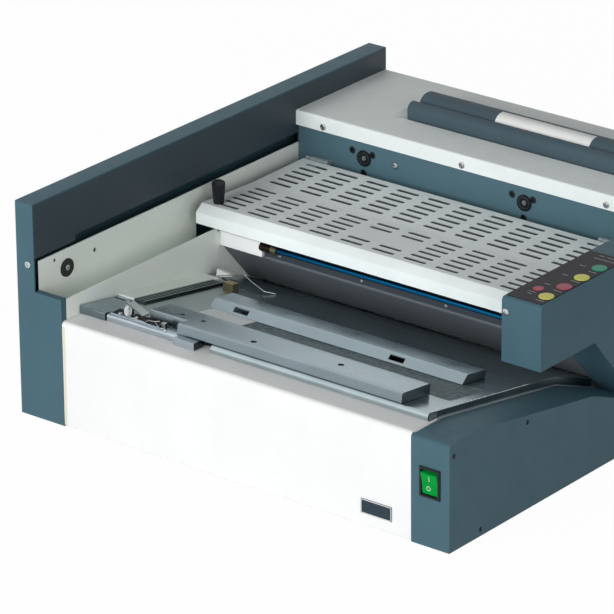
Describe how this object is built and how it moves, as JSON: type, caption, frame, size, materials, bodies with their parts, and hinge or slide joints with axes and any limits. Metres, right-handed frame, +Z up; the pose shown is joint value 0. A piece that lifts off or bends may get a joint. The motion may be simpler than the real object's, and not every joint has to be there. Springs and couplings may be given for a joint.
{
  "type": "perfect binding machine",
  "caption": "Desktop perfect binder with a slotted hinged guard, a clamp slot in the lid, a sloping steel cover table with nipping plates and a button housing.",
  "frame": {"origin": "on the table surface under the middle of the machine", "axes": "+X to the machine's right side as seen from the front, +Y to its back, +Z up"},
  "size_m": [0.56, 0.598, 0.249],
  "materials": {
    "blue_grey_paint": "satin powder coat",
    "beige_paint": "fine textured powder coat",
    "white_paint": "satin powder coat",
    "dark_paint": "satin powder coat",
    "polished_steel": "polished sheet",
    "machined_steel": "ground",
    "bright_zinc": "bright plated",
    "brass": "turned",
    "black_rubber": "matte",
    "black_plastic": "moulded",
    "black_screw": "black oxide",
    "overlay_film": "textured film",
    "white_plastic": "moulded",
    "blue_anodised": "blue anodised",
    "yellow_button": "moulded",
    "red_button": "moulded",
    "green_button": "moulded",
    "green_rocker": "translucent moulded",
    "dark_strip": "coarse grip",
    "motor_paint": "black enamel",
    "board_green": "solder mask",
    "carbide_steel": "ground",
    "nameplate_alloy": "satin"
  },
  "bodies": {
    "base": {"base_pan": "dark_paint", "rubber_feet": "black_rubber", "front_panel": "white_paint", "left_side_cover": "blue_grey_paint", "left_inner_panel": "blue_grey_paint", "left_liner": "beige_paint", "liner_bumper": "black_rubber", "right_side_cover": "blue_grey_paint", "control_housing": "blue_grey_paint", "control_panel": "overlay_film", "control_board": "board_green", "rocker_bezel": "black_plastic", "nameplate": "nameplate_alloy", "lid": "beige_paint", "clamp_front_wall": "blue_grey_paint", "adjuster_bushes": "black_plastic", "front_jaw": "blue_grey_paint", "clamp_actuators": "machined_steel", "hinge_pins": "beige_paint", "cover_table": "polished_steel", "spine_strip": "dark_strip", "table_end_block": "polished_steel", "table_rail": "dark_paint", "rod_beam": "dark_paint", "chute_panel": "dark_paint", "blue_guide_rod": "blue_anodised", "brass_fittings": "brass", "rod_bracket": "white_plastic", "feed_block": "white_plastic", "hold_down_wire": "bright_zinc", "right_inner_panel": "blue_grey_paint", "rear_panel": "blue_grey_paint", "power_inlet": "black_plastic", "frame_plates": "machined_steel", "guide_rods": "bright_zinc", "drive_motor": "motor_paint", "silver_screws": "bright_zinc", "black_screws": "black_screw"},
    "guard": {"guard_cover": "beige_paint", "guard_knob": "black_plastic", "guard_hinge_leaves": "beige_paint"},
    "clamp_rear_jaw": {"rear_jaw": "blue_grey_paint", "actuator_rods": "bright_zinc"},
    "front_nip": {"nip_plate_front": "polished_steel"},
    "rear_nip": {"nip_plate_rear": "polished_steel"},
    "side_lay": {"side_lay_bar": "polished_steel"},
    "lock_lever": {"lay_lever": "polished_steel"},
    "front_yellow_button": {"button_front_yellow": "yellow_button"},
    "small_red_button": {"button_small_red": "red_button"},
    "red_push_button": {"button_red": "red_button"},
    "yellow_push_button": {"button_yellow": "yellow_button"},
    "green_push_button": {"button_green": "green_button"},
    "power_rocker": {"rocker": "green_rocker"},
    "carriage": {"carriage_plate": "machined_steel", "glue_tank": "machined_steel", "cutter_motor": "motor_paint"},
    "cutter": {"milling_cutter": "carbide_steel"},
    "left_roller": {"glue_roller_left": "machined_steel"},
    "right_roller": {"glue_roller_right": "machined_steel"},
    "screw": {"drive_screw": "machined_steel"}
  },
  "joints": [
    {"name": "guard_hinge", "type": "hinge", "parent": "base", "child": "guard", "pos_m": [0, 0.13498, 0.1715], "axis": [-1, 0, 0], "range_deg": [0, 80]},
    {"name": "rear_jaw_slide", "type": "slide", "parent": "base", "child": "clamp_rear_jaw", "axis": [0, 1, 0], "range_m": [0, 0.024]},
    {"name": "front_nip_slide", "type": "slide", "parent": "base", "child": "front_nip", "axis": [0, 0.9867, -0.1628], "range_m": [0, 0.026]},
    {"name": "rear_nip_slide", "type": "slide", "parent": "base", "child": "rear_nip", "axis": [0, -0.9867, 0.1628], "range_m": [0, 0.026]},
    {"name": "side_lay_slide", "type": "slide", "parent": "base", "child": "side_lay", "axis": [1, 0, 0], "range_m": [0, 0.014]},
    {"name": "lock_lever_pivot", "type": "hinge", "parent": "side_lay", "child": "lock_lever", "pos_m": [-0.161, -0.25602, 0.144], "axis": [0, 0, 1], "range_deg": [0, 30]},
    {"name": "front_yellow_press", "type": "slide", "parent": "base", "child": "front_yellow_button", "axis": [0, 0, -1], "range_m": [0, 0.001], "stiffness_N_per_m": 900, "springref_m": -0.0008},
    {"name": "small_red_press", "type": "slide", "parent": "base", "child": "small_red_button", "axis": [0, 0, -1], "range_m": [0, 0.001], "stiffness_N_per_m": 900, "springref_m": -0.0008},
    {"name": "red_press", "type": "slide", "parent": "base", "child": "red_push_button", "axis": [0, 0, -1], "range_m": [0, 0.001], "stiffness_N_per_m": 900, "springref_m": -0.0008},
    {"name": "yellow_press", "type": "slide", "parent": "base", "child": "yellow_push_button", "axis": [0, 0, -1], "range_m": [0, 0.001], "stiffness_N_per_m": 900, "springref_m": -0.0008},
    {"name": "green_press", "type": "slide", "parent": "base", "child": "green_push_button", "axis": [0, 0, -1], "range_m": [0, 0.001], "stiffness_N_per_m": 900, "springref_m": -0.0008},
    {"name": "rocker_tilt", "type": "hinge", "parent": "base", "child": "power_rocker", "pos_m": [0.2564, -0.28802, 0.08], "axis": [-1, 0, 0], "range_deg": [0, 16]},
    {"name": "carriage_slide", "type": "slide", "parent": "base", "child": "carriage", "axis": [1, 0, 0], "range_m": [0, 0.29]},
    {"name": "cutter_spin", "type": "hinge", "parent": "carriage", "child": "cutter", "pos_m": [-0.174, 0.20473, 0.11], "axis": [0, 0, 1], "continuous": true},
    {"name": "left_roller_spin", "type": "hinge", "parent": "carriage", "child": "left_roller", "pos_m": [-0.12, 0.20473, 0.111], "axis": [0, 1, 0], "continuous": true},
    {"name": "right_roller_spin", "type": "hinge", "parent": "carriage", "child": "right_roller", "pos_m": [-0.089, 0.20473, 0.111], "axis": [0, 1, 0], "continuous": true},
    {"name": "screw_spin", "type": "hinge", "parent": "base", "child": "screw", "pos_m": [0, 0.20473, 0.032], "axis": [1, 0, 0], "range_deg": [0, 10441]}
  ],
  "couplings": [
    {"joint": "rear_nip_slide", "follows": "front_nip_slide", "ratio": 1},
    {"joint": "right_roller_spin", "follows": "left_roller_spin", "ratio": 1},
    {"joint": "screw_spin", "follows": "carriage_slide", "rad_per_m": 628.32}
  ]
}
